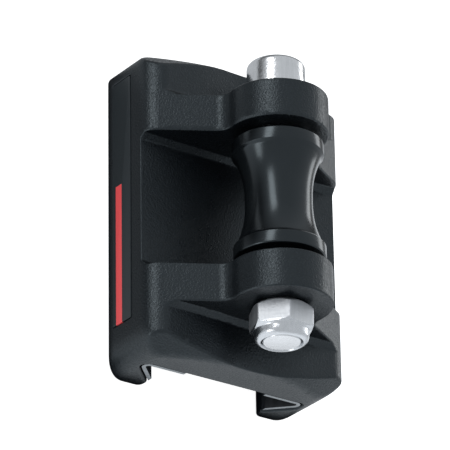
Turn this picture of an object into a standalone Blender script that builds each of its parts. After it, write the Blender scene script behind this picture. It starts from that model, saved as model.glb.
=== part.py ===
"""Slide car for a mast track, with a bobbin on a through bolt.

The moulded body wraps round a track below and carries two ears above. A bolt through the ears
holds a spacer sleeve, and an hourglass bobbin turns on the sleeve. Two V-shaped liners line the
jaws, and a thin panel is set into each side wall.

Frame: +X along the bolt towards its nut, +Z out of the track, origin at the middle of the jaws'
bottom faces. Lengths are in metres.
"""

import math

import bmesh
import bpy
from mathutils import Matrix, Vector

# Body
CAR_LENGTH = 0.0688  # between the flat end faces
CAR_WIDTH = 0.0508  # between the side walls
SHOULDER_HEIGHT = 0.0156  # where the side wall starts to round over
SHOULDER_RADIUS = 0.0050
SKIRT_RADIUS = 0.0063  # outer lower corner of each jaw
CORNER_RADIUS_NUT = 0.0060  # between the nut end's face and a side wall
CORNER_RADIUS_HEAD = 0.0030  # the same at the bolt head's end
DECK_HEIGHT = 0.0205  # deck outside each ear
DECK_DIP = 0.0008  # how far the deck sinks under the bolt
DECK_DIP_REACH = 0.0140  # half width of that dip
SADDLE_HEIGHT = 0.0160  # floor between the ears, at its lowest
SADDLE_RISE = 0.0003  # how much higher that floor is at the side walls
BASE_FILLET = 0.0012  # where an ear meets a floor
BROW_TILT_NUT = math.radians(30)  # lean of the curved face that trims the nut end's upper corners
BROW_TILT_HEAD = math.radians(38)  # the same at the bolt head's end
BROW_RADIUS = 0.0720  # radius of both in plan
BROW_SETBACK = 0.0001  # from the end face to the brow, at the deck's height on the middle line

# Ears and bolt line
PIN_RISE = 0.0101  # bolt axis above the outer decks
EAR_GAP = 0.0306  # between the ears' inner faces
EAR_THICKNESS = 0.0086
BOSS_RADIUS = 0.0110
FLANK_SLOPE = math.radians(30.5)  # slope from the shoulder up to the boss
FLANK_FILLET = 0.0025  # between that slope and the boss

# Track channel
MOUTH_WIDTH = 0.0292  # between the jaw tips
CHANNEL_HEIGHT = 0.0109  # its ceiling above the jaws' bottom faces
GROOVE_RADIUS = 0.0018  # rounding at the groove's outer corner
LIP_HEIGHT = 0.0026  # top of a jaw tip
LIP_RADIUS = 0.0015

# Liners
LINER_THICKNESS = 0.0009
LINER_BEND_RADIUS = 0.0006  # inside of its bend
LINER_INSET = 0.0044  # how far the upper leg reaches past the jaw tip

# Bolt, nut and sleeve
BOLT_DIAMETER = 0.0080
HEAD_OVERHANG = 0.00225  # bolt head's radius beyond the shank's
HEAD_HEIGHT = 0.0081
HEAD_CHAMFER = 0.0006
SOCKET_ACROSS_FLATS = 0.0060
SOCKET_DEPTH = 0.0040
NUT_WALL = 0.00205  # from the shank to a flat
NUT_CORNER_TRIM = 0.0002  # taken off the hexagon's corners
NUT_HEX_HEIGHT = 0.0054
NUT_COLLAR_HEIGHT = 0.0025
NUT_CORNER_ANGLE = math.radians(39.5)  # one corner, from +Z towards +Y
INSERT_WALL = 0.0006
COLLAR_WALL = 0.0007
COLLAR_LIP = 0.0004
SLEEVE_WALL = 0.0009

# Bobbin
RIM_GAP = 0.0018  # from a rim to its ear
RIM_WIDTH = 0.0030
RIM_WALL = 0.00443  # from the bore to the rim's outside
RIM_STEP = 0.0004  # between the rim and the flare
WAIST_WALL = 0.00183
HUB_WALL = 0.0011
FLARE_POWER = 2.4

# Side panels
PANEL_HEAD_MARGIN = 0.0039  # from the end face
PANEL_NUT_MARGIN = 0.0088  # the same at the nut's end
PANEL_LOW = 0.0059  # lower edge above the jaws' bottom faces
PANEL_HEIGHT = 0.0067
PANEL_THICKNESS = 0.0005

# Clearances and facets
TOUCH_GAP = 0.0003
INSERT_GAP = 0.0001
RUNNING_GAP = 0.0001
ROUND_SIDES = 48
ARC_STEP = math.radians(9)
OVERRUN = 0.0050  # how far a cutter passes beyond what it cuts

# Worked out from the sizes above
HALF_LENGTH = CAR_LENGTH / 2
HALF_WIDTH = CAR_WIDTH / 2
PIN_HEIGHT = DECK_HEIGHT + PIN_RISE
EAR_INNER = EAR_GAP / 2
EAR_OUTER = EAR_INNER + EAR_THICKNESS
TIP = MOUTH_WIDTH / 2
BOLT_RADIUS = BOLT_DIAMETER / 2
BOLT_HOLE_RADIUS = BOLT_RADIUS + TOUCH_GAP
SLEEVE_RADIUS = BOLT_HOLE_RADIUS + SLEEVE_WALL
BOBBIN_BORE = SLEEVE_RADIUS + RUNNING_GAP
BOBBIN_HALF = EAR_INNER - RIM_GAP
HUB_HALF = EAR_INNER - TOUCH_GAP
NUT_FLAT_RADIUS = BOLT_RADIUS + NUT_WALL
INSERT_RADIUS = BOLT_HOLE_RADIUS + INSERT_WALL
POCKET_RADIUS = INSERT_RADIUS + INSERT_GAP
NUT_HEIGHT = NUT_HEX_HEIGHT + NUT_COLLAR_HEIGHT
NUT_SEAT = EAR_OUTER + TOUCH_GAP
BIG = CAR_LENGTH + CAR_WIDTH + PIN_HEIGHT


# ---------------------------------------------------------------- outlines


def arc(centre, radius, start, end):
    """Points on a circle from one angle to another, ends included. Angles run from +first to +second axis."""
    steps = max(2, math.ceil(abs(end - start) / ARC_STEP))
    angles = (start + (end - start) * i / steps for i in range(steps + 1))
    return [(centre[0] + radius * math.cos(a), centre[1] + radius * math.sin(a)) for a in angles]


def both_sides(half):
    """A closed outline from its +first half, listed from the axis round to the axis again."""
    mirrored = [(-u, v) for u, v in reversed(half) if abs(u) > 1e-9]
    return half + mirrored


def flank_fillet():
    """Centre of the fillet between the ear's flank and its boss, and the boss angle where it ends."""
    # The flank's tangent point on the shoulder, and its normal pointing up and out.
    normal = Vector((math.sin(FLANK_SLOPE), math.cos(FLANK_SLOPE)))
    shoulder = Vector((HALF_WIDTH - SHOULDER_RADIUS, SHOULDER_HEIGHT))
    foot = shoulder + normal * SHOULDER_RADIUS
    along = Vector((-normal.y, normal.x))
    base = foot + normal * FLANK_FILLET
    to_pin = Vector((0, PIN_HEIGHT)) - base
    middle = to_pin.dot(along)
    offset = to_pin.dot(normal)
    reach = math.sqrt(max((BOSS_RADIUS + FLANK_FILLET) ** 2 - offset**2, 0))
    centre = base + along * (middle - reach)
    direction = centre - Vector((0, PIN_HEIGHT))
    return centre, math.atan2(direction.y, direction.x)


def jaw_outline():
    """The lower half of the section on the +Y side, from the channel's ceiling to the skirt's top."""
    # The groove's lower face rises at 45 degrees from the lip.
    corner_y = TIP + CHANNEL_HEIGHT - LIP_HEIGHT
    centre_y = corner_y - GROOVE_RADIUS * (1 + math.sqrt(2))
    groove = arc((centre_y, CHANNEL_HEIGHT - GROOVE_RADIUS), GROOVE_RADIUS, math.pi / 2, -math.pi / 4)
    lip_centre = (TIP + LIP_RADIUS, LIP_RADIUS)
    lip = arc(lip_centre, LIP_RADIUS, math.pi, 1.5 * math.pi)
    skirt_centre = (HALF_WIDTH - SKIRT_RADIUS, SKIRT_RADIUS)
    skirt = arc(skirt_centre, SKIRT_RADIUS, -math.pi / 2, 0)
    return [(0, CHANNEL_HEIGHT)] + groove + [(TIP, LIP_HEIGHT)] + lip + skirt


def ear_outline():
    """The whole C-shaped section of the body at an ear, as (y, z)."""
    centre, boss_angle = flank_fillet()
    flank_normal = math.pi / 2 - FLANK_SLOPE
    shoulder_centre = (HALF_WIDTH - SHOULDER_RADIUS, SHOULDER_HEIGHT)
    shoulder = arc(shoulder_centre, SHOULDER_RADIUS, 0, flank_normal)
    fillet = arc(centre, FLANK_FILLET, flank_normal - math.pi, boss_angle - math.pi)
    boss = arc((0, PIN_HEIGHT), BOSS_RADIUS, boss_angle, math.pi / 2)
    return both_sides(jaw_outline() + shoulder + fillet + boss)


def deck_height(y):
    """Height of the outer deck, which dips under the bolt."""
    if abs(y) >= DECK_DIP_REACH:
        return DECK_HEIGHT
    return DECK_HEIGHT - DECK_DIP * 0.5 * (1 + math.cos(math.pi * y / DECK_DIP_REACH))


def saddle_height(y):
    """Height of the floor between the ears."""
    return SADDLE_HEIGHT + SADDLE_RISE * (y / HALF_WIDTH) ** 2


def above(height_at):
    """Outline of everything above a floor that height_at(y) gives, wider than the body."""
    reach = HALF_WIDTH + OVERRUN
    count = 24
    floor = [(-reach + 2 * reach * i / count) for i in range(count + 1)]
    return [(y, height_at(y)) for y in floor] + [(reach, BIG), (-reach, BIG)]


# ---------------------------------------------------------------- solids


def new_object(name, bm):
    """Turns a bmesh into a smooth-shaded object with sharp edges where its faces really turn."""
    # Triangles are always flat, which keeps the Booleans closed.
    bmesh.ops.triangulate(bm, faces=bm.faces)
    bmesh.ops.recalc_face_normals(bm, faces=bm.faces)
    mesh = bpy.data.meshes.new(name)
    bm.to_mesh(mesh)
    bm.free()
    mesh.shade_smooth()
    mesh.set_sharp_from_angle(angle=math.radians(28))
    obj = bpy.data.objects.new(name, mesh)
    bpy.context.scene.collection.objects.link(obj)
    return obj


def cutter(obj):
    """Marks an object as a helper that a Boolean uses."""
    obj.hide_render = True
    obj.display_type = "WIRE"
    return obj


def boolean(obj, operation, other):
    modifier = obj.modifiers.new(operation.title(), "BOOLEAN")
    modifier.operation = operation
    modifier.solver = "EXACT"
    modifier.object = cutter(other)


def along_x(outline, x0, x1):
    """A bmesh of a (y, z) outline extruded from x0 to x1."""
    bm = bmesh.new()
    face = bm.faces.new([bm.verts.new((x0, y, z)) for y, z in outline])
    moved = bmesh.ops.extrude_face_region(bm, geom=[face])["geom"]
    verts = [v for v in moved if isinstance(v, bmesh.types.BMVert)]
    bmesh.ops.translate(bm, verts=verts, vec=(x1 - x0, 0, 0))
    return bm


def turned(name, profile):
    """An (x, radius) profile turned about the bolt axis, in the bolt's own frame.

    A profile that starts on the axis also ends on it. Any other profile is a closed ring.
    """
    bm = bmesh.new()
    verts = [bm.verts.new((x, 0, r)) for x, r in profile]
    pairs = list(zip(verts, verts[1:]))
    if profile[0][1] > 0:
        pairs.append((verts[-1], verts[0]))
    edges = [bm.edges.new(pair) for pair in pairs]
    bmesh.ops.spin(
        bm, geom=verts + edges, cent=(0, 0, 0), axis=(1, 0, 0), dvec=(0, 0, 0),
        angle=2 * math.pi, steps=ROUND_SIDES, use_merge=True, use_duplicate=False,
    )
    bmesh.ops.remove_doubles(bm, verts=bm.verts, dist=1e-6)
    return new_object(name, bm)


def hexagon(name, flat_radius, x0, x1, corner_angle):
    """A six-sided prism along X, with one corner at corner_angle from +Z towards +Y."""
    corner = flat_radius / math.cos(math.pi / 6)
    angles = [corner_angle + i * math.pi / 3 for i in range(6)]
    return new_object(name, along_x([(corner * math.sin(a), corner * math.cos(a)) for a in angles], x0, x1))


def on_pin(obj):
    """Places an object made about the bolt's own frame."""
    obj.location = (0, 0, PIN_HEIGHT)
    return obj


# ---------------------------------------------------------------- body


def floor_cutter(name, height_at, x0, x1, ear_faces):
    """Cuts down to a floor between x0 and x1, with a fillet at the floor's foot along each ear face."""
    bm = along_x(above(height_at), x0, x1)
    bmesh.ops.recalc_face_normals(bm, faces=bm.faces)
    reach = HALF_WIDTH + OVERRUN
    feet = []
    for edge in bm.edges:
        a, b = (v.co for v in edge.verts)
        low = max(a.z, b.z) < BIG / 2 and abs(a.y - b.y) > 1e-6 and max(abs(a.y), abs(b.y)) <= reach + 1e-6
        if low and any(abs(a.x - x) < 1e-6 and abs(b.x - x) < 1e-6 for x in ear_faces):
            feet.append(edge)
    bmesh.ops.bevel(bm, geom=feet, offset=BASE_FILLET, segments=3, profile=0.5, affect="EDGES")
    return new_object(name, bm)


def plan_solid():
    """The body's plan: a rectangle with rounded corners, standing taller than the body."""
    nut, head = CORNER_RADIUS_NUT, CORNER_RADIUS_HEAD
    outline = []
    for x_side, y_side, radius, quarter in ((1, 1, nut, 0), (-1, 1, head, 1), (-1, -1, head, 2), (1, -1, nut, 3)):
        centre = (x_side * (HALF_LENGTH - radius), y_side * (HALF_WIDTH - radius))
        outline += arc(centre, radius, quarter * math.pi / 2, (quarter + 1) * math.pi / 2)
    bm = bmesh.new()
    face = bm.faces.new([bm.verts.new((px, py, -OVERRUN)) for px, py in outline])
    moved = bmesh.ops.extrude_face_region(bm, geom=[face])["geom"]
    verts = [v for v in moved if isinstance(v, bmesh.types.BMVert)]
    bmesh.ops.translate(bm, verts=verts, vec=(0, 0, BIG))
    return new_object("plan_guide", bm)


def brow_solid():
    """A block whose curved ends lean in as they rise to the decks, and stand upright above them."""
    count = 20
    reach = HALF_WIDTH + OVERRUN
    ys = [-reach + 2 * reach * i / count for i in range(count + 1)]

    def brow(z, tilt):
        middle = HALF_LENGTH - BROW_SETBACK - math.tan(tilt) * (z - DECK_HEIGHT)
        return [(middle - y * y / (2 * BROW_RADIUS), y) for y in ys]

    bm = bmesh.new()
    rings = []
    top = DECK_HEIGHT + BASE_FILLET
    for z, lean_z in ((-OVERRUN, -OVERRUN), (top, top), (BIG, top)):
        outline = brow(lean_z, BROW_TILT_NUT) + [(-x, -y) for x, y in brow(lean_z, BROW_TILT_HEAD)]
        rings.append([bm.verts.new((x, y, z)) for x, y in outline])
    for low, high in zip(rings, rings[1:]):
        for i in range(len(low)):
            j = (i + 1) % len(low)
            bm.faces.new((low[i], low[j], high[j], high[i]))
    bm.faces.new(rings[0])
    bm.faces.new(rings[-1])
    return new_object("brow_guide", bm)


def box(name, low, high):
    bm = bmesh.new()
    bmesh.ops.create_cube(bm, size=1)
    size = Vector(high) - Vector(low)
    middle = (Vector(high) + Vector(low)) / 2
    bmesh.ops.transform(bm, verts=bm.verts, matrix=Matrix.Translation(middle) @ Matrix.Diagonal((*size, 1)))
    return new_object(name, bm)


def panel_box(name, side, grow):
    """A side panel, or with grow its recess: larger all round and deeper by that much."""
    x0 = PANEL_HEAD_MARGIN - HALF_LENGTH
    x1 = HALF_LENGTH - PANEL_NUT_MARGIN
    outer = HALF_WIDTH + (OVERRUN if grow else 0)
    inner = HALF_WIDTH - PANEL_THICKNESS - grow
    ys = sorted((side * outer, side * inner))
    low = (x0 - grow, ys[0], PANEL_LOW - grow)
    high = (x1 + grow, ys[1], PANEL_LOW + PANEL_HEIGHT + grow)
    return box(name, low, high)


def car_body():
    body = new_object("car_body", along_x(ear_outline(), -HALF_LENGTH - OVERRUN, HALF_LENGTH + OVERRUN))
    boolean(body, "INTERSECT", plan_solid())
    boolean(body, "INTERSECT", brow_solid())
    boolean(body, "DIFFERENCE", floor_cutter("saddle_cutter", saddle_height, -EAR_INNER, EAR_INNER,
                                             (-EAR_INNER, EAR_INNER)))
    far = HALF_LENGTH + OVERRUN
    boolean(body, "DIFFERENCE", floor_cutter("deck_cutter_nut", deck_height, EAR_OUTER, far, (EAR_OUTER,)))
    boolean(body, "DIFFERENCE", floor_cutter("deck_cutter_head", deck_height, -far, -EAR_OUTER, (-EAR_OUTER,)))
    hole = turned("bolt_hole_cutter", [(-BIG / 2, 0), (-BIG / 2, BOLT_HOLE_RADIUS),
                                             (BIG / 2, BOLT_HOLE_RADIUS), (BIG / 2, 0)])
    boolean(body, "DIFFERENCE", on_pin(hole))
    for side, word in ((-1, "left"), (1, "right")):
        boolean(body, "DIFFERENCE", panel_box(f"panel_recess_{word}", side, TOUCH_GAP))
    return body


# ---------------------------------------------------------------- what fits to it


def liner(name, side):
    """A V-shaped strip that lies under the channel's ceiling and down the groove's 45-degree face."""
    inner = LINER_BEND_RADIUS
    outer = inner + LINER_THICKNESS
    corner_y = TIP + CHANNEL_HEIGHT - LIP_HEIGHT
    top = CHANNEL_HEIGHT - TOUCH_GAP
    # The upper leg's top and the lower leg's outer face meet, unrounded, a gap inside the groove's corner.
    centre = (corner_y - (TOUCH_GAP + outer) * (1 + math.sqrt(2)), top - outer)
    # The lower leg runs a gap in from the groove's 45-degree face and ends upright, level with the jaw tip.
    lift = math.sqrt(2)
    foot = (TIP, LIP_HEIGHT + TOUCH_GAP * lift)
    foot_inner = (TIP, foot[1] + LINER_THICKNESS * lift)
    outline = [(TIP - LINER_INSET, top)]
    outline += arc(centre, outer, math.pi / 2, -math.pi / 4)
    outline += [foot, foot_inner]
    outline += arc(centre, inner, -math.pi / 4, math.pi / 2)
    outline += [(TIP - LINER_INSET, top - LINER_THICKNESS)]
    outline = [(side * y, z) for y, z in outline]
    return new_object(name, along_x(outline, TOUCH_GAP - HALF_LENGTH, HALF_LENGTH - TOUCH_GAP))


def clevis_bolt():
    seat = EAR_OUTER + TOUCH_GAP
    head = seat + HEAD_HEIGHT
    head_radius = BOLT_RADIUS + HEAD_OVERHANG
    tip = NUT_SEAT + NUT_HEIGHT
    profile = [(-head, 0), (-head, head_radius - HEAD_CHAMFER), (HEAD_CHAMFER - head, head_radius),
               (-seat, head_radius), (-seat, BOLT_RADIUS), (tip - HEAD_CHAMFER, BOLT_RADIUS),
               (tip, BOLT_RADIUS - HEAD_CHAMFER), (tip, 0)]
    bolt = turned("clevis_bolt", profile)
    socket = hexagon("socket_cutter", SOCKET_ACROSS_FLATS / 2, -head - OVERRUN, SOCKET_DEPTH - head, 0)
    boolean(bolt, "DIFFERENCE", on_pin(socket))
    return on_pin(bolt)


def lock_nut():
    """A hexagon nut whose round collar holds a ring. The ring's groove is closed by the collar's lip."""
    flat = NUT_FLAT_RADIUS
    corner = flat / math.cos(math.pi / 6) - NUT_CORNER_TRIM
    collar = POCKET_RADIUS + COLLAR_WALL
    x0, x1 = NUT_SEAT, NUT_SEAT + NUT_HEX_HEIGHT
    x2 = x1 + NUT_COLLAR_HEIGHT
    trim = corner - flat
    outline = [(x0, BOLT_HOLE_RADIUS), (x0, flat), (x0 + trim * 0.6, corner), (x1 - trim * 0.6, corner),
               (x1, flat), (x1 + COLLAR_LIP, collar), (x2 - COLLAR_LIP, collar),
               (x2, collar - COLLAR_LIP), (x2, BOLT_HOLE_RADIUS + COLLAR_LIP / 2),
               (x2 - COLLAR_LIP, BOLT_HOLE_RADIUS + COLLAR_LIP / 2),
               (x2 - COLLAR_LIP, POCKET_RADIUS), (x1 + COLLAR_LIP, POCKET_RADIUS),
               (x1 + COLLAR_LIP, BOLT_HOLE_RADIUS)]
    nut = turned("lock_nut", outline)
    prism = hexagon("nut_flats_guide", flat, x0 - OVERRUN, x2 + OVERRUN, NUT_CORNER_ANGLE)
    boolean(nut, "INTERSECT", on_pin(prism))
    return on_pin(nut)


def tube(name, x0, x1, bore, radius):
    return on_pin(turned(name, [(x0, bore), (x0, radius), (x1, radius), (x1, bore)]))


def lock_nut_insert():
    low = NUT_SEAT + NUT_HEX_HEIGHT + COLLAR_LIP + INSERT_GAP
    high = NUT_SEAT + NUT_HEIGHT - COLLAR_LIP - INSERT_GAP
    return tube("lock_nut_insert", low, high, BOLT_HOLE_RADIUS, INSERT_RADIUS)


def bobbin():
    """An hourglass spool with a rim at each end and a hub that bears on the ears."""
    rim = BOBBIN_BORE + RIM_WALL
    waist = BOBBIN_BORE + WAIST_WALL
    hub = BOBBIN_BORE + HUB_WALL
    flare_end = BOBBIN_HALF - RIM_WIDTH
    flare_top = rim - RIM_STEP
    edge = RIM_STEP
    count = 11
    flare = []
    for i in range(count + 1):
        x = flare_end * i / count
        flare.append((x, waist + (flare_top - waist) * (x / flare_end) ** FLARE_POWER))
    half = flare + [(flare_end, rim - RIM_STEP / 2), (flare_end + edge, rim), (BOBBIN_HALF - edge, rim),
                    (BOBBIN_HALF, rim - edge), (BOBBIN_HALF, hub), (HUB_HALF, hub), (HUB_HALF, BOBBIN_BORE)]
    profile = half + [(-x, r) for x, r in reversed(half) if x > 0]
    return on_pin(turned("bobbin", profile))


def side_panel(name, side):
    return panel_box(name, side, 0)


# ---------------------------------------------------------------- materials and assembly


def finish(obj, colour, roughness, metallic=0.0):
    material = bpy.data.materials.new(obj.name)
    material.use_nodes = True
    shader = material.node_tree.nodes["Principled BSDF"]
    shader.inputs["Base Color"].default_value = (*colour, 1)
    shader.inputs["Roughness"].default_value = roughness
    shader.inputs["Metallic"].default_value = metallic
    obj.data.materials.clear()
    obj.data.materials.append(material)


def clear_scene():
    for obj in list(bpy.data.objects):
        bpy.data.objects.remove(obj, do_unlink=True)


def build():
    clear_scene()
    finish(car_body(), (0.060, 0.065, 0.072), 0.55)
    finish(liner("slide_liner_left", -1), (0.45, 0.47, 0.50), 0.40)
    finish(liner("slide_liner_right", 1), (0.45, 0.47, 0.50), 0.40)
    finish(side_panel("side_panel_left", -1), (0.045, 0.050, 0.056), 0.45)
    finish(side_panel("side_panel_right", 1), (0.045, 0.050, 0.056), 0.45)
    finish(clevis_bolt(), (0.72, 0.73, 0.75), 0.22, 1.0)
    finish(lock_nut(), (0.72, 0.73, 0.75), 0.25, 1.0)
    finish(lock_nut_insert(), (0.75, 0.76, 0.78), 0.50)
    finish(tube("spacer_sleeve", TOUCH_GAP - EAR_INNER, EAR_INNER - TOUCH_GAP, BOLT_HOLE_RADIUS,
                SLEEVE_RADIUS), (0.60, 0.61, 0.63), 0.30, 1.0)
    finish(bobbin(), (0.020, 0.021, 0.024), 0.22)


build()
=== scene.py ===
"""Looks of the slide car: fine surfaces, materials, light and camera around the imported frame.

The moulded body and the nut are distance fields, in millimetres, turned into meshes. The turned
pieces are lathed, and the rest are extruded outlines.
"""

import math

import bmesh
import bpy
import numpy as np
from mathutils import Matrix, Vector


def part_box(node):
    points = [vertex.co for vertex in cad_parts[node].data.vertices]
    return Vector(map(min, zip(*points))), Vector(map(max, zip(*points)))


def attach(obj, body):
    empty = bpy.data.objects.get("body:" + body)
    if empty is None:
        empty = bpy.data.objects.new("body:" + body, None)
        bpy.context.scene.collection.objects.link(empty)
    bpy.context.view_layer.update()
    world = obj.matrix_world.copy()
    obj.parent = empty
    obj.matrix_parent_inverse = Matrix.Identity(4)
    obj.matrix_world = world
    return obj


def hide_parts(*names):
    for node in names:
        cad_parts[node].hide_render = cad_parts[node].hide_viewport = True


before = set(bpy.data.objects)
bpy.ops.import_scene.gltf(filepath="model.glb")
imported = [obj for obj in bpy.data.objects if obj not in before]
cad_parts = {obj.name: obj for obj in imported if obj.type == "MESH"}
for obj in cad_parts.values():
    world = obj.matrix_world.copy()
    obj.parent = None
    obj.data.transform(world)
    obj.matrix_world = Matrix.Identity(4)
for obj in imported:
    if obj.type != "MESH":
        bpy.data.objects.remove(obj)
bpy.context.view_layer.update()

import openvdb
from mathutils import Matrix, Vector

MM = 0.001
GAP = 0.3  # the CAD's gap between touching pieces, in mm


def box_mm(node):
    """The lowest and the highest corner of a node, in mm."""
    low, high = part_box(node)
    return np.array(low) / MM, np.array(high) / MM


# ---------------------------------------------------------------- sizes, in mm

BODY_LOW, BODY_HIGH = box_mm("car_body")
SLEEVE_LOW, SLEEVE_HIGH = box_mm("spacer_sleeve")
NUT_LOW, NUT_HIGH = box_mm("lock_nut")
BOLT_LOW, BOLT_HIGH = box_mm("clevis_bolt")
BOBBIN_LOW, BOBBIN_HIGH = box_mm("bobbin")
PANEL_LOW, PANEL_HIGH = box_mm("side_panel_left")
LINER_LOW, LINER_HIGH = box_mm("slide_liner_right")

HALF_LENGTH = BODY_HIGH[0]
HALF_WIDTH = BODY_HIGH[1]
PIN_HEIGHT = (BOBBIN_LOW[2] + BOBBIN_HIGH[2]) / 2
BOSS_RADIUS = BODY_HIGH[2] - PIN_HEIGHT
EAR_INNER = SLEEVE_HIGH[0] + GAP
EAR_OUTER = NUT_LOW[0] - GAP

SHOULDER_HEIGHT = 15.6
SHOULDER_RADIUS = 5.0
SKIRT_RADIUS = 6.3
CORNER_RADIUS_NUT = 6.0
CORNER_RADIUS_HEAD = 3.0
DECK_HEIGHT = 20.5
DECK_DIP = 0.8
DECK_DIP_REACH = 14.0
SADDLE_HEIGHT = 16.0
SADDLE_RISE = 0.3
FOOT_BEVEL = 1.2  # flat bevel where an ear meets a floor
BROW_TILT_NUT = math.radians(30)
BROW_TILT_HEAD = math.radians(38)
BROW_RADIUS = 72.0  # bow of the leaning faces across the car
BROW_SETBACK = 0.1  # of those faces from the ends, at the deck's height
FLANK_SLOPE = math.radians(30.5)
FLANK_FILLET = 3.5
LINER_LEG = 4.4  # from the inner edge of a liner's upper leg out to the jaw's tip
TIP = LINER_LOW[1] + LINER_LEG
CHANNEL_HEIGHT = LINER_HIGH[2] + GAP
GROOVE_RADIUS = 1.8  # of the undercut that the liner's bend lies in
LIP_HEIGHT = 2.6  # where the undercut's slope meets the jaw's tip
LIP_RADIUS = 1.5
LINER_BEND = 0.6
LINER_THICKNESS = 0.9
BOLT_HOLE_RADIUS = 4.3

END_EDGE = 0.6  # rounding between the section and the end faces
BROW_EDGE = 0.45
RIM_EDGE = 0.3  # rounding round the ears and the floors
BEVEL_EDGE = 0.1
JAW_EDGE = 0.3
RECESS_EDGE = 0.12
RECESS_CORNER = 0.4
RECESS_GAP = 0.12  # between a side panel and its recess
PANEL_CORNER = 0.3
PANEL_EDGE = 0.12
LINER_EDGE = 0.1
BODY_STEP = 0.27  # spacing of the points that the body's surface is made from
NUT_STEP = 0.12
ADAPTIVITY = 0.01  # how far flat stretches of those surfaces are merged into larger faces
FIELD_BAND = 3  # how many steps from the surface its field is kept

BOLT_RADIUS = 4.0
BOLT_ROOT_EDGE = 0.15  # where the shank meets the head
BOLT_TIP_EDGE = 0.35
HEAD_RADIUS = BOLT_HIGH[1]
HEAD_HEIGHT = 8.1
HEAD_END_EDGE = 1.3
HEAD_SEAT_EDGE = 0.25
SOCKET_FLAT = 3.0
SOCKET_DEPTH = 4.0
SOCKET_MARGIN = 0.8  # from the socket's flats to a ring of points that stays clear of its corners

NUT_FLAT = 6.05
NUT_CORNER_ANGLE = math.radians(39.5)
NUT_HEX_HEIGHT = 5.4
NUT_CHAMFER_START = 4.5  # height where the corners start to be cut off towards the collar
NUT_SEAT_CHAMFER = (1.0, 0.45)  # along the axis, and in from the flats
NUT_CORNER_EDGE = 0.25
NUT_EDGE = 0.12
NUT_BORE_RADIUS = BOLT_HOLE_RADIUS - 0.1
COLLAR_RADIUS = 5.7
COLLAR_EDGE = 1.3

BOBBIN_BORE = 5.3
BOBBIN_HUB = 6.4
BOBBIN_HUB_REACH = 1.5  # of a hub beyond its rim
BOBBIN_RIM_WIDTH = 3.0
BOBBIN_RIM_STEP = 0.4
BOBBIN_WAIST = 7.13
BOBBIN_FLARE_POWER = 2.4
BOBBIN_FLARE_COUNT = 28

STRIPE_MIDDLE = (9.7, 8.3)  # x and z
STRIPE_HALF = (15.9, 1.1)

TURNED_SIDES = 160
TURNED_SHARP = 40  # degrees: a larger angle between two faces stays a sharp edge
EXTRUDED_SHARP = 32


# ---------------------------------------------------------------- outlines


def arc(centre, radius, start, end, step=math.radians(5)):
    """Points along an arc, at most a step apart."""
    count = max(2, math.ceil(abs(end - start) / step))
    angles = [start + (end - start) * i / count for i in range(count + 1)]
    return [(centre[0] + radius * math.cos(a), centre[1] + radius * math.sin(a)) for a in angles]


def rounded(points, radii, closed=False):
    """The polyline with each corner rounded by its radius. A radius of 0 keeps the corner."""
    result = []
    count = len(points)
    for i, (point, radius) in enumerate(zip(points, radii)):
        if radius == 0 or (not closed and i in (0, count - 1)):
            result.append(point)
            continue
        here = Vector(point)
        back = (Vector(points[i - 1]) - here).normalized()
        ahead = (Vector(points[(i + 1) % count]) - here).normalized()
        half = back.angle(ahead) / 2
        centre = here + (back + ahead).normalized() * (radius / math.sin(half))
        first = here + back * (radius / math.tan(half)) - centre
        last = here + ahead * (radius / math.tan(half)) - centre
        a0 = math.atan2(first.y, first.x)
        turn = (math.atan2(last.y, last.x) - a0 + math.pi) % (2 * math.pi) - math.pi
        result += arc(centre, radius, a0, a0 + turn, math.radians(15))
    return result


def flank_fillet():
    """Centre of the fillet between the ear's flank and its boss, and the boss angle where it ends."""
    normal = Vector((math.sin(FLANK_SLOPE), math.cos(FLANK_SLOPE)))
    along = Vector((-normal.y, normal.x))
    foot = Vector((HALF_WIDTH - SHOULDER_RADIUS, SHOULDER_HEIGHT)) + normal * SHOULDER_RADIUS
    base = foot + normal * FLANK_FILLET
    to_pin = Vector((0, PIN_HEIGHT)) - base
    reach = math.sqrt((BOSS_RADIUS + FLANK_FILLET) ** 2 - to_pin.dot(normal) ** 2)
    centre = base + along * (to_pin.dot(along) - reach)
    direction = centre - Vector((0, PIN_HEIGHT))
    return centre, math.atan2(direction.y, direction.x)


def section_outline():
    """The body's whole C-shaped section at an ear, as (y, z)."""
    corner_y = TIP + CHANNEL_HEIGHT - LIP_HEIGHT
    groove_centre = (corner_y - GROOVE_RADIUS * (1 + math.sqrt(2)), CHANNEL_HEIGHT - GROOVE_RADIUS)
    half = [(0, CHANNEL_HEIGHT)]
    half += arc(groove_centre, GROOVE_RADIUS, math.pi / 2, -math.pi / 4)
    lip = [(TIP + 1, LIP_HEIGHT + 1), (TIP, LIP_HEIGHT), (TIP, LIP_RADIUS)]
    half += rounded(lip, [0, JAW_EDGE, 0])[1:-1]
    half += arc((TIP + LIP_RADIUS, LIP_RADIUS), LIP_RADIUS, math.pi, 1.5 * math.pi)
    half += arc((HALF_WIDTH - SKIRT_RADIUS, SKIRT_RADIUS), SKIRT_RADIUS, -math.pi / 2, 0)
    centre, boss_angle = flank_fillet()
    flank_normal = math.pi / 2 - FLANK_SLOPE
    half += arc((HALF_WIDTH - SHOULDER_RADIUS, SHOULDER_HEIGHT), SHOULDER_RADIUS, 0, flank_normal)
    half += arc(centre, FLANK_FILLET, flank_normal - math.pi, boss_angle - math.pi)
    half += arc((0, PIN_HEIGHT), BOSS_RADIUS, boss_angle, math.pi / 2)
    return half + [(-u, v) for u, v in reversed(half) if abs(u) > 1e-6]


# ---------------------------------------------------------------- distance fields


def round_max(a, b, radius):
    """Intersection of two distance fields, with the edge between them rounded."""
    inner = np.minimum(np.maximum(a, b), -radius)
    return inner + np.hypot(np.maximum(a + radius, 0), np.maximum(b + radius, 0))


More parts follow.
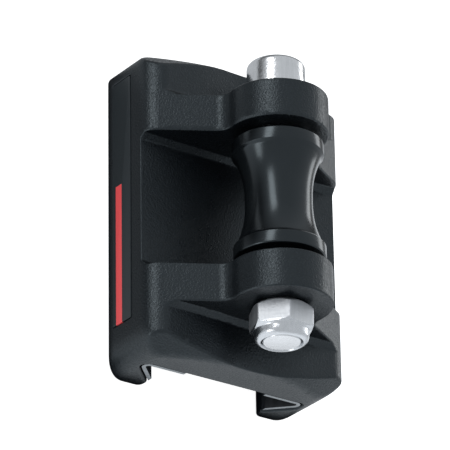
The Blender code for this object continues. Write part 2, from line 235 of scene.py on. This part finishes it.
def bevel_max(a, b, width):
    """Intersection of two distance fields, with a flat bevel along the edge between them."""
    return round_max(np.maximum(a, b), (a + b + width) * math.sqrt(0.5), BEVEL_EDGE)


def polygon_distance(u, v, outline):
    """Signed distance to a closed outline, below zero inside."""
    nearest = None
    outside = 1.0
    for (u0, v0), (u1, v1) in zip(outline, outline[1:] + outline[:1]):
        du, dv = u1 - u0, v1 - v0
        wu, wv = u - u0, v - v0
        along = np.clip((wu * du + wv * dv) / (du * du + dv * dv), 0, 1)
        square = (wu - along * du) ** 2 + (wv - along * dv) ** 2
        nearest = square if nearest is None else np.minimum(nearest, square)
        up = (v >= v0) & (v < v1) & (wv * du < wu * dv)
        down = (v < v0) & (v >= v1) & (wv * du > wu * dv)
        outside = outside * np.where(up | down, -1.0, 1.0)
    return outside * np.sqrt(nearest)


def plan_distance(x, y):
    """The plan, with its own corner radius at each end."""
    radius = np.where(x > 0, CORNER_RADIUS_NUT, CORNER_RADIUS_HEAD)
    over_x = np.abs(x) - HALF_LENGTH + radius
    over_y = np.abs(y) - HALF_WIDTH + radius
    outside = np.hypot(np.maximum(over_x, 0), np.maximum(over_y, 0))
    return outside + np.minimum(np.maximum(over_x, over_y), 0) - radius


def brow_distance(x, y, z):
    """The curved faces that lean in over each end."""
    bow = y * y / (2 * BROW_RADIUS)
    height = np.minimum(z, DECK_HEIGHT + 1) - DECK_HEIGHT
    result = None
    for side, tilt in ((1, BROW_TILT_NUT), (-1, BROW_TILT_HEAD)):
        face = HALF_LENGTH - BROW_SETBACK - math.tan(tilt) * height - bow
        distance = (side * x - face) * math.cos(tilt)
        result = distance if result is None else np.maximum(result, distance)
    return result


def floor_cut(x, y, z):
    """What is cut away above the saddle between the ears and above the decks outside them."""
    saddle = SADDLE_HEIGHT + SADDLE_RISE * (y / HALF_WIDTH) ** 2
    dip = np.where(np.abs(y) < DECK_DIP_REACH, 0.5 + 0.5 * np.cos(np.pi * y / DECK_DIP_REACH), 0)
    deck = DECK_HEIGHT - DECK_DIP * dip
    between = bevel_max(np.abs(x) - EAR_INNER, saddle - z, FOOT_BEVEL)
    outside = bevel_max(EAR_OUTER - np.abs(x), deck - z, FOOT_BEVEL)
    return np.minimum(between, outside)


def recess_distance(x, y, z):
    """The shallow recess of each side panel."""
    middle = (PANEL_LOW + PANEL_HIGH) / 2
    half = (PANEL_HIGH - PANEL_LOW) / 2 + RECESS_GAP
    over_x = np.abs(x - middle[0]) - half[0]
    over_z = np.abs(z - middle[2]) - half[2]
    depth = -PANEL_HIGH[1] - GAP - np.abs(y)
    return round_max(round_max(over_x, over_z, RECESS_CORNER), depth, RECESS_EDGE)


SECTION = section_outline()


def car_distance(x, y, z):
    """The whole body: the section, trimmed to its plan and brows, and cut for floors, bolt and panels."""
    section = polygon_distance(y, z, SECTION)
    solid = round_max(section, plan_distance(x, y), END_EDGE)
    solid = round_max(solid, brow_distance(x, y, z), BROW_EDGE)
    solid = round_max(solid, -floor_cut(x, y, z), RIM_EDGE)
    hole = BOLT_HOLE_RADIUS - np.hypot(y, z - PIN_HEIGHT)
    solid = round_max(solid, hole, RIM_EDGE)
    return round_max(solid, -recess_distance(x, y, z), RECESS_EDGE)


def hexagon_distance(y, z, flat, angle, radius):
    """A hexagon with a corner at angle from +Z towards +Y."""
    result = None
    for i in range(3):
        turn = angle + math.pi / 6 + i * math.pi / 3
        side = np.abs(y * math.sin(turn) + z * math.cos(turn)) - flat
        result = side if result is None else round_max(result, side, radius)
    return result


def nut_distance(x, y, z):
    """A hexagon nut with a chamfered seat, a domed collar and an open end that shows the bolt."""
    height = z - PIN_HEIGHT
    radius = np.hypot(y, height)
    corner = NUT_FLAT / math.cos(math.pi / 6) + 0.1
    top = NUT_HIGH[0] - NUT_LOW[0]
    chamfer_height, chamfer_depth = NUT_SEAT_CHAMFER
    seat = [(0, NUT_BORE_RADIUS), (0, NUT_FLAT - chamfer_depth), (chamfer_height, corner)]
    collar = [(NUT_CHAMFER_START, corner), (NUT_HEX_HEIGHT + 0.2, COLLAR_RADIUS + 0.1),
              (top, COLLAR_RADIUS - 0.15)]
    mouth = [(top, BOLT_HOLE_RADIUS + 0.15), (top - 0.5, NUT_BORE_RADIUS)]
    radii = [0, 0.1, 0.1, 0.3, 0.5, COLLAR_EDGE, 0.15, 0]
    profile = rounded(seat + collar + mouth, radii, closed=True)
    blank = polygon_distance(x - NUT_LOW[0], radius, profile)
    hexagon = hexagon_distance(y, height, NUT_FLAT, NUT_CORNER_ANGLE, NUT_CORNER_EDGE)
    return round_max(blank, hexagon, NUT_EDGE)


def gradient(distance, points, reach=0.02):
    """How the field rises at each point, along each axis."""
    slopes = []
    for axis in range(3):
        shift = np.zeros(3)
        shift[axis] = reach
        slopes.append(distance(*(points + shift).T) - distance(*(points - shift).T))
    return np.stack(slopes, axis=1) / (2 * reach)


def surface(name, distance, low, high, step):
    """A mesh where the field is zero, with its points moved onto that surface and the field's normals."""
    axes = [np.arange(a - 2 * step, b + 3 * step, step) for a, b in zip(low, high)]
    field = distance(*np.ix_(*axes)) / step
    grid = openvdb.FloatGrid(float(FIELD_BAND))
    grid.copyFromArray(np.clip(field, -FIELD_BAND, FIELD_BAND).astype(np.float32))
    points, triangles, quads = grid.convertToPolygons(isovalue=0.0, adaptivity=ADAPTIVITY)
    points = points.astype(float) * step + [axis[0] for axis in axes]
    for _ in range(2):  # each pass moves the points nearer to the surface
        slope = gradient(distance, points)
        square = np.maximum((slope * slope).sum(1), 0.25)
        move = slope * (distance(*points.T) / square)[:, None]
        points -= np.clip(move, -step / 2, step / 2)
    mesh = bpy.data.meshes.new(name)
    mesh.from_pydata(points * MM, [], quads.tolist() + triangles.tolist())
    obj = add(name, mesh)
    mesh.shade_smooth()
    normals = gradient(distance, points)
    normals /= np.linalg.norm(normals, axis=1)[:, None]
    mesh.normals_split_custom_set_from_vertices(normals)
    return obj


# ---------------------------------------------------------------- mesh pieces


def add(name, mesh):
    """A new object with this mesh, in the scene."""
    obj = bpy.data.objects.new(name, mesh)
    bpy.context.scene.collection.objects.link(obj)
    return obj


def finish_mesh(name, bm, sharp=EXTRUDED_SHARP):
    """Turns a bmesh into an object, shaded smooth with sharp edges at large angles."""
    bmesh.ops.remove_doubles(bm, verts=bm.verts, dist=1e-7)
    bmesh.ops.recalc_face_normals(bm, faces=bm.faces)
    mesh = bpy.data.meshes.new(name)
    bm.to_mesh(mesh)
    bm.free()
    mesh.shade_smooth()
    mesh.set_sharp_from_angle(angle=math.radians(sharp))
    return add(name, mesh)


def turned(name, profile, closed):
    """A profile of (x, radius) turned about the bolt's axis."""
    bm = bmesh.new()
    verts = [bm.verts.new((x * MM, 0, r * MM)) for x, r in profile]
    pairs = list(zip(verts, verts[1:])) + ([(verts[-1], verts[0])] if closed else [])
    edges = [bm.edges.new(pair) for pair in pairs]
    bmesh.ops.spin(bm, geom=verts + edges, cent=(0, 0, 0), axis=(1, 0, 0), dvec=(0, 0, 0),
                   angle=2 * math.pi, steps=TURNED_SIDES, use_merge=True, use_duplicate=False)
    bmesh.ops.translate(bm, verts=bm.verts, vec=(0, 0, PIN_HEIGHT * MM))
    return finish_mesh(name, bm, TURNED_SHARP)


def extruded(name, outline, axis, low, high, bevel):
    """An outline in the other two axes, extruded along one axis, with its end edges bevelled."""
    bm = bmesh.new()

    def place(u, v, w):
        coordinates = [u, v]
        coordinates.insert(axis, w)
        return [c * MM for c in coordinates]

    face = bm.faces.new([bm.verts.new(place(u, v, low)) for u, v in outline])
    moved = bmesh.ops.extrude_face_region(bm, geom=[face])["geom"]
    shift = Vector(place(0, 0, high)) - Vector(place(0, 0, low))
    bmesh.ops.translate(bm, verts=[v for v in moved if isinstance(v, bmesh.types.BMVert)], vec=shift)
    bmesh.ops.recalc_face_normals(bm, faces=bm.faces)
    ends = [e for e in bm.edges if abs(e.verts[0].co[axis] - e.verts[1].co[axis]) < 1e-9]
    bmesh.ops.bevel(bm, geom=ends, offset=bevel * MM, segments=2, profile=0.5, affect="EDGES")
    return finish_mesh(name, bm)


def bobbin_profile():
    """An hourglass spool: a plain rim at each end, a small step, and a flare down to the waist."""
    rim = BOBBIN_HIGH[2] - PIN_HEIGHT
    half = BOBBIN_HIGH[0]
    flange = half - BOBBIN_HUB_REACH
    flare_end = flange - BOBBIN_RIM_WIDTH
    foot = rim - BOBBIN_RIM_STEP
    flare = []
    for i in range(BOBBIN_FLARE_COUNT + 1):
        share = i / BOBBIN_FLARE_COUNT
        radius = BOBBIN_WAIST + (foot - BOBBIN_WAIST) * share ** BOBBIN_FLARE_POWER
        flare.append((flare_end * share, radius))
    step = [(flare_end - 0.2, foot), (flare_end + 0.15, rim), (flange, rim)]
    hub = [(flange, BOBBIN_HUB + 0.6), (flange + 0.5, BOBBIN_HUB), (half, BOBBIN_HUB), (half, BOBBIN_BORE)]
    side = rounded([flare[-2]] + step + hub, [0, 0, 0.12, 0.45, 0.3, 0.2, 0.15, 0])[1:]
    right = flare[:-1] + side
    return right + [(-x, r) for x, r in reversed(right) if x > 0]


def bobbin_piece():
    """The spool, turned with its bore open."""
    return turned("bobbin_turned", bobbin_profile(), True)


def bolt_piece():
    """A turned cylindrical head and plain shank, with a hexagon socket cut into the head."""
    head_top = BOLT_LOW[0]
    seat = head_top + HEAD_HEIGHT
    tip = BOLT_HIGH[0]
    corners = [(head_top, 0), (head_top, HEAD_RADIUS), (seat, HEAD_RADIUS), (seat, BOLT_RADIUS),
               (tip, BOLT_RADIUS), (tip, 0)]
    profile = rounded(corners, [0, HEAD_END_EDGE, HEAD_SEAT_EDGE, BOLT_ROOT_EDGE, BOLT_TIP_EDGE, 0])
    profile = profile[:1] + [(head_top, SOCKET_FLAT + SOCKET_MARGIN)] + profile[1:]
    bolt = turned("through_bolt", profile, False)
    corner = SOCKET_FLAT / math.cos(math.pi / 6)
    hexagon = [(corner * math.sin(i * math.pi / 3), PIN_HEIGHT + corner * math.cos(i * math.pi / 3))
               for i in range(6)]
    socket = extruded("socket_cutter", hexagon, 0, head_top - 2, head_top + SOCKET_DEPTH, 0.05)
    cut = bolt.modifiers.new("Socket", "BOOLEAN")
    cut.operation = "DIFFERENCE"
    cut.object = socket
    apply_modifiers(bolt)
    bpy.data.objects.remove(socket)
    bolt.data.set_sharp_from_angle(angle=math.radians(TURNED_SHARP))
    return bolt


def apply_modifiers(obj):
    graph = bpy.context.evaluated_depsgraph_get()
    mesh = bpy.data.meshes.new_from_object(obj.evaluated_get(graph))
    obj.modifiers.clear()
    obj.data = mesh


def liner_outline(side):
    """The V of a liner: an upper leg under the ceiling, a bend, and a lower leg down to the jaw tip."""
    outer = LINER_BEND + LINER_THICKNESS
    corner_y = TIP + CHANNEL_HEIGHT - LIP_HEIGHT
    top = CHANNEL_HEIGHT - GAP
    centre = (corner_y - (GAP + outer) * (1 + math.sqrt(2)), top - outer)
    foot = LIP_HEIGHT + GAP * math.sqrt(2)
    outline = [(LINER_LOW[1], top)]
    outline += arc(centre, outer, math.pi / 2, -math.pi / 4)
    outline += [(TIP, foot), (TIP, foot + LINER_THICKNESS * math.sqrt(2))]
    outline += arc(centre, LINER_BEND, -math.pi / 4, math.pi / 2)
    outline += [(LINER_LOW[1], top - LINER_THICKNESS)]
    return [(side * y, z) for y, z in outline]


def liner_piece(word, side):
    """A liner along the car. side is -1 on the left and 1 on the right."""
    name = f"slide_liner_strip_{word}"
    return extruded(name, liner_outline(side), 0, LINER_LOW[0], LINER_HIGH[0], LINER_EDGE)


def panel_piece(word, side):
    """A thin plate with rounded corners, set into the side wall."""
    x0, x1 = PANEL_LOW[0], PANEL_HIGH[0]
    z0, z1 = PANEL_LOW[2], PANEL_HIGH[2]
    outline = rounded([(x0, z0), (x1, z0), (x1, z1), (x0, z1)], [PANEL_CORNER] * 4, closed=True)
    low, high = sorted((-side * PANEL_HIGH[1], -side * PANEL_LOW[1]))
    return extruded(f"side_panel_plate_{word}", outline, 1, low, high, PANEL_EDGE)


# ---------------------------------------------------------------- materials

COOL_GLOSS = dict(Specular_IOR_Level=0.56, Specular_Tint=(0.80, 0.93, 1.0, 1))  # of the black plastics


class Nodes:
    """A material's node tree, with short calls for the nodes used here."""

    def __init__(self, name):
        self.material = bpy.data.materials.new(name)
        self.material.use_nodes = True
        self.tree = self.material.node_tree
        self.shader = self.tree.nodes["Principled BSDF"]
        coordinates = self.tree.nodes.new("ShaderNodeTexCoord").outputs
        self.place = coordinates["Object"]
        self.normal = coordinates["Normal"]

    def add(self, kind, **settings):
        node = self.tree.nodes.new(kind)
        for key, value in settings.items():
            setattr(node, key, value)
        return node

    def link(self, output, node, socket):
        self.tree.links.new(output, node.inputs[socket])

    def noise(self, scale, detail=2.0, stretch=None):
        """Noise whose grain is about 1/scale metres."""
        node = self.add("ShaderNodeTexNoise")
        node.inputs["Scale"].default_value = scale
        node.inputs["Detail"].default_value = detail
        place = self.place
        if stretch:
            mapping = self.add("ShaderNodeMapping")
            mapping.inputs["Scale"].default_value = stretch
            self.link(place, mapping, "Vector")
            place = mapping.outputs["Vector"]
        self.link(place, node, "Vector")
        return node.outputs["Fac"]

    def range(self, value, low, high, out_low, out_high):
        node = self.add("ShaderNodeMapRange")
        self.link(value, node, "Value")
        limits = {"From Min": low, "From Max": high, "To Min": out_low, "To Max": out_high}
        for socket, number in limits.items():
            node.inputs[socket].default_value = number
        return node.outputs["Result"]

    def spread(self, noise, out_low, out_high):
        """Noise stretched over a range: most of it lies between 0.3 and 0.7."""
        return self.range(noise, 0.3, 0.7, out_low, out_high)

    def split(self, vector):
        """The X, Y and Z of a vector."""
        node = self.add("ShaderNodeSeparateXYZ")
        self.link(vector, node, "Vector")
        return node.outputs

    def mix(self, factor, first, second):
        """From the first colour to the second. Each is three numbers or another node's output."""
        node = self.add("ShaderNodeMix", data_type="RGBA")
        self.link(factor, node, "Factor")
        for socket, colour in ((6, first), (7, second)):
            if isinstance(colour, tuple):
                node.inputs[socket].default_value = (*colour, 1)
            else:
                self.link(colour, node, socket)
        return node.outputs[2]

    def blend(self, noise, first, second):
        """A colour that noise varies between two."""
        return self.mix(self.spread(noise, 0, 1), first, second)

    def math(self, operation, first, second=None, third=None):
        node = self.add("ShaderNodeMath", operation=operation)
        for i, value in enumerate((first, second, third)):
            if value is None:
                continue
            if isinstance(value, (int, float)):
                node.inputs[i].default_value = value
            else:
                self.link(value, node, i)
        return node.outputs[0]

    def bump(self, layers):
        """Stacks (height, depth in metres, strength) layers of bump."""
        normal = None
        for height, depth, strength in layers:
            node = self.add("ShaderNodeBump")
            node.inputs["Strength"].default_value = strength
            node.inputs["Distance"].default_value = depth
            self.link(height, node, "Height")
            if normal:
                self.link(normal, node, "Normal")
            normal = node.outputs["Normal"]
        self.link(normal, self.shader, "Normal")

    def colour(self, value):
        self.link(value, self.shader, "Base Color")

    def roughness(self, value):
        self.link(value, self.shader, "Roughness")

    def set(self, **values):
        for key, value in values.items():
            self.shader.inputs[key.replace("_", " ")].default_value = value


def moulded_plastic():
    """Charcoal nylon, with a fine spark-eroded grain that glints in the highlights."""
    n = Nodes("moulded_charcoal")
    grain = n.noise(2500, 2)
    cloud = n.noise(220, 2)
    n.colour(n.mix(n.range(grain, 0.4, 0.7, 0, 1), (0.0015, 0.0022, 0.0032), (0.006, 0.008, 0.0105)))
    n.roughness(n.math("ADD", n.range(grain, 0.35, 0.65, 0.44, 0.28), n.spread(cloud, -0.02, 0.02)))
    n.bump([(grain, 0.00012, 0.8), (n.noise(1100, 2), 0.00004, 0.15)])
    n.set(**COOL_GLOSS)
    return n.material


def liner_plastic():
    """Dark drawn strip with fine lines along it. The dark of its sides is painted shade, and its end faces
    are paler with a painted highlight, chosen by which way each face points.
    """
    n = Nodes("liner_grey")
    streak = n.noise(1500, 2, (0.05, 1, 1))
    # painted shade: the dark side colour stands in for the shade inside the channel
    side = n.blend(streak, (0.008, 0.010, 0.012), (0.014, 0.017, 0.020))
    # painted highlight: the pale end colour stands in for the light that the end faces catch
    painted_lit_end = n.blend(n.noise(2500, 2), (0.20, 0.22, 0.235), (0.30, 0.32, 0.335))
    # the mask gives the painted highlight to faces that point along the car and the painted shade to the
    # rest
    end = n.range(n.math("ABSOLUTE", n.split(n.normal)["X"]), 0.5, 0.8, 0, 1)
    n.colour(n.mix(end, side, painted_lit_end))
    n.roughness(n.spread(streak, 0.32, 0.46))
    n.bump([(streak, 0.00002, 0.25)])
    return n.material


def panel_plastic():
    """Satin plate with one plain red stripe."""
    n = Nodes("panel_satin")
    place = n.split(n.place)
    stripe_x = n.math("COMPARE", place["X"], STRIPE_MIDDLE[0] * MM, STRIPE_HALF[0] * MM)
    stripe_z = n.math("COMPARE", place["Z"], STRIPE_MIDDLE[1] * MM, STRIPE_HALF[1] * MM)
    stripe = n.math("MULTIPLY", stripe_x, stripe_z)
    grain = n.noise(2600, 2)
    plain = n.blend(grain, (0.012, 0.017, 0.020), (0.018, 0.024, 0.028))
    red = n.blend(grain, (0.78, 0.072, 0.078), (0.86, 0.084, 0.090))
    n.colour(n.mix(stripe, plain, red))
    n.roughness(n.spread(grain, 0.36, 0.46))
    n.bump([(grain, 0.00001, 0.2)])
    return n.material


def polished_steel(name, base, low, high, satin=None):
    """Stainless steel, with fine rings round the bolt's axis, lines along it and a mottled gloss.

    With satin, given as (x, width, extra), the steel is rougher by that extra below x, and the
    change is spread over that width.
    """
    n = Nodes(name)
    rings = n.noise(4200, 2, (1, 0.04, 0.04))
    lines = n.noise(2600, 3, (0.06, 1, 1))
    cloud = n.noise(350, 3)
    tone = n.math("ADD", n.spread(cloud, 0, 0.5), n.spread(lines, 0, 0.5))
    n.colour(n.mix(tone, tuple(c * 0.84 for c in base), base))
    rough = n.math("ADD", n.spread(rings, low, high), n.spread(cloud, 0, 0.04))
    if satin:
        edge, width, extra = satin
        below = n.range(n.split(n.place)["X"], (edge - width) * MM, edge * MM, extra, 0)
        rough = n.math("ADD", rough, below)
    n.roughness(rough)
    n.bump([(rings, 0.00001, 0.06), (lines, 0.00001, 0.10), (n.noise(1300, 2), 0.00008, 0.5)])
    n.set(Metallic=1.0)
    return n.material


def glossy_black():
    """Turned black plastic, polished, with faint rings."""
    n = Nodes("bobbin_black")
    rings = n.noise(2600, 2, (1, 0.03, 0.03))
    cloud = n.noise(260, 2)
    n.colour(n.blend(cloud, (0.0020, 0.0027, 0.0034), (0.0038, 0.0048, 0.0058)))
    n.roughness(n.math("ADD", n.spread(rings, 0.18, 0.23), n.spread(cloud, 0, 0.02)))
    n.bump([(rings, 0.00001, 0.02)])
    n.set(**COOL_GLOSS)
    return n.material


def natural_nylon():
    """Off-white nylon, slightly cloudy."""
    n = Nodes("insert_nylon")
    cloud = n.noise(700, 3)
    n.colour(n.blend(cloud, (0.62, 0.61, 0.57), (0.72, 0.71, 0.67)))
    n.roughness(n.spread(cloud, 0.4, 0.55))
    n.bump([(cloud, 0.00002, 0.2)])
    return n.material


# ---------------------------------------------------------------- assembly


def dress(piece, material, body, node):
    """Gives a new piece its material and its place in the frame."""
    piece.data.materials.clear()
    piece.data.materials.append(material)
    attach(piece, body)
    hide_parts(node)


def dress_node(node, material):
    """Gives a CAD piece that stays as it is its material."""
    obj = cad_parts[node]
    obj.data.materials.clear()
    obj.data.materials.append(material)


def build_object():
    body = surface("car_body_moulding", car_distance, BODY_LOW, BODY_HIGH, BODY_STEP)
    dress(body, moulded_plastic(), "car", "car_body")
    nut = surface("lock_nut_forged", nut_distance, NUT_LOW, NUT_HIGH, NUT_STEP)
    satin_hexagon = (NUT_LOW[0] + NUT_HEX_HEIGHT - 0.3, 0.4, 0.24)
    nut_steel = polished_steel("nut_steel", (0.70, 0.72, 0.745), 0.20, 0.28, satin=satin_hexagon)
    dress(nut, nut_steel, "car", "lock_nut")
    bolt_steel = polished_steel("bolt_steel", (0.80, 0.81, 0.825), 0.17, 0.23)
    dress(bolt_piece(), bolt_steel, "car", "clevis_bolt")
    dress(bobbin_piece(), glossy_black(), "bobbin", "bobbin")
    grey = liner_plastic()
    satin = panel_plastic()
    for word, side in (("left", -1), ("right", 1)):
        dress(liner_piece(word, side), grey, "car", f"slide_liner_{word}")
        dress(panel_piece(word, side), satin, "car", f"side_panel_{word}")
    sleeve_steel = polished_steel("sleeve_steel", (0.60, 0.61, 0.63), 0.25, 0.35)
    dress_node("spacer_sleeve", sleeve_steel)
    dress_node("lock_nut_insert", natural_nylon())


# ---------------------------------------------------------------- camera, floor and light

AIM = Vector((1.3, -4.7, 17.7)) * MM  # the point of the car in the middle of the picture
AZIMUTH = math.radians(39.0)
ELEVATION = math.radians(47.35)
ROLL = math.radians(-0.921)
DISTANCE = 0.8398
LENS = 318.3
SOFTBOX_DISTANCE = 0.7
COOL_WHITE = (0.94, 0.98, 1.02, 1)  # of the light from the sky and from the ground


def direction(azimuth, elevation):
    """The way from the car to a camera or a light. Azimuth 0 is at -Y, and 90 degrees at +X."""
    flat = math.cos(elevation)
    return Vector((math.sin(azimuth) * flat, -math.cos(azimuth) * flat, math.sin(elevation)))


def add_camera():
    """The camera looks down on the car, with +X running down the picture."""
    back = direction(AZIMUTH, ELEVATION)
    along = Vector((1, 0, 0))
    down = (along - back * along.dot(back)).normalized()
    down.rotate(Matrix.Rotation(ROLL, 3, back))
    up = -down
    right = up.cross(back)
    camera = bpy.data.cameras.new("camera")
    camera.lens = LENS
    camera.clip_start = 0.01
    obj = bpy.data.objects.new("camera", camera)
    bpy.context.scene.collection.objects.link(obj)
    matrix = Matrix((right, up, back)).transposed().to_4x4()
    matrix.translation = AIM + back * DISTANCE
    obj.matrix_world = matrix
    bpy.context.scene.camera = obj


def add_floor():
    """A pale floor that only the camera sees, so that it reads as the white ground of a cut-out picture."""
    bm = bmesh.new()
    bmesh.ops.create_grid(bm, x_segments=8, y_segments=8, size=3.0)
    floor = finish_mesh("floor", bm)
    n = Nodes("floor_white")
    n.set(Base_Color=(0.8, 0.8, 0.8, 1), Roughness=0.9, Emission_Color=(1, 1, 1, 1), Emission_Strength=0.9)
    floor.data.materials.append(n.material)
    floor.visible_diffuse = False
    floor.visible_glossy = False


def add_card(name, x_range, y_range, height, brightness):
    """A level card that the camera doesn't see: dark, or glowing with a brightness relative to white."""
    bm = bmesh.new()
    corners = [(0, 0), (1, 0), (1, 1), (0, 1)]
    bm.faces.new([bm.verts.new((x_range[i] * MM, y_range[j] * MM, height * MM)) for i, j in corners])
    card = finish_mesh(name, bm)
    n = Nodes(name)
    n.set(Base_Color=(0.02, 0.02, 0.02, 1), Roughness=1.0, Specular_IOR_Level=0.0)
    n.set(Emission_Color=COOL_WHITE, Emission_Strength=brightness)
    card.data.materials.append(n.material)
    card.visible_camera = False


def add_cards():
    """A dark card under the car, like its own shadow, and bright ground behind it and on its right."""
    (back, left), (front, right) = BODY_LOW[:2], BODY_HIGH[:2]
    add_card("card_under", (back, front + 2.5), (left - 2, right + 2), -0.1, 0.0)
    add_card("card_behind", (back - 90, back - 6), (left - 60, right + 80), 0.1, 0.55)
    add_card("card_right", (back - 6, front), (right + 8, right + 80), 0.1, 1.1)


def add_softbox(name, azimuth, elevation, width, height, brightness):
    """A rectangular light that faces the car. Its brightness is relative to a white surface."""
    light = bpy.data.lights.new(name, "AREA")
    light.shape = "RECTANGLE"
    light.size = width
    light.size_y = height
    light.energy = brightness * math.pi * width * height
    obj = bpy.data.objects.new(name, light)
    bpy.context.scene.collection.objects.link(obj)
    back = direction(math.radians(azimuth), math.radians(elevation))
    obj.location = AIM + back * SOFTBOX_DISTANCE
    obj.rotation_euler = back.to_track_quat("Z", "Y").to_euler()


def add_world():
    """Even white light from above. The light from below is brighter at the nut's end of the car."""
    world = bpy.data.worlds.new("studio")
    bpy.context.scene.world = world
    world.use_nodes = True
    tree = world.node_tree
    place = tree.nodes.new("ShaderNodeTexCoord")
    split = tree.nodes.new("ShaderNodeSeparateXYZ")
    tree.links.new(place.outputs["Generated"], split.inputs["Vector"])

    def ranged(output, low, high, out_low, out_high):
        node = tree.nodes.new("ShaderNodeMapRange")
        tree.links.new(output, node.inputs["Value"])
        for socket, value in (("From Min", low), ("From Max", high)):
            node.inputs[socket].default_value = value
        for socket, value in (("To Min", out_low), ("To Max", out_high)):
            if isinstance(value, float):
                node.inputs[socket].default_value = value
            else:
                tree.links.new(value, node.inputs[socket])
        return node.outputs["Result"]

    beside = tree.nodes.new("ShaderNodeMath")
    tree.links.new(split.outputs["Y"], beside.inputs[0])
    tree.links.new(split.outputs["Z"], beside.inputs[1])
    head_end = ranged(beside.outputs[0], -1.35, -1.15, 0.30, 0.06)
    below = ranged(split.outputs["X"], -0.5, 0.5, head_end, 1.1)
    strength = ranged(split.outputs["Z"], -0.15, 0.30, below, 0.64)
    background = tree.nodes["Background"]
    background.inputs["Color"].default_value = COOL_WHITE
    tree.links.new(strength, background.inputs["Strength"])


def add_lights():
    add_world()
    add_softbox("key_left", azimuth=-32, elevation=30, width=0.42, height=0.2, brightness=4.0)
    add_softbox("fill_left", azimuth=20, elevation=2, width=0.4, height=0.2, brightness=3.0)
    add_softbox("rim_right", azimuth=203, elevation=6, width=0.4, height=0.2, brightness=2.8)
    bpy.context.scene.view_settings.view_transform = "Standard"


build_object()
add_camera()
add_floor()
add_cards()
add_lights()
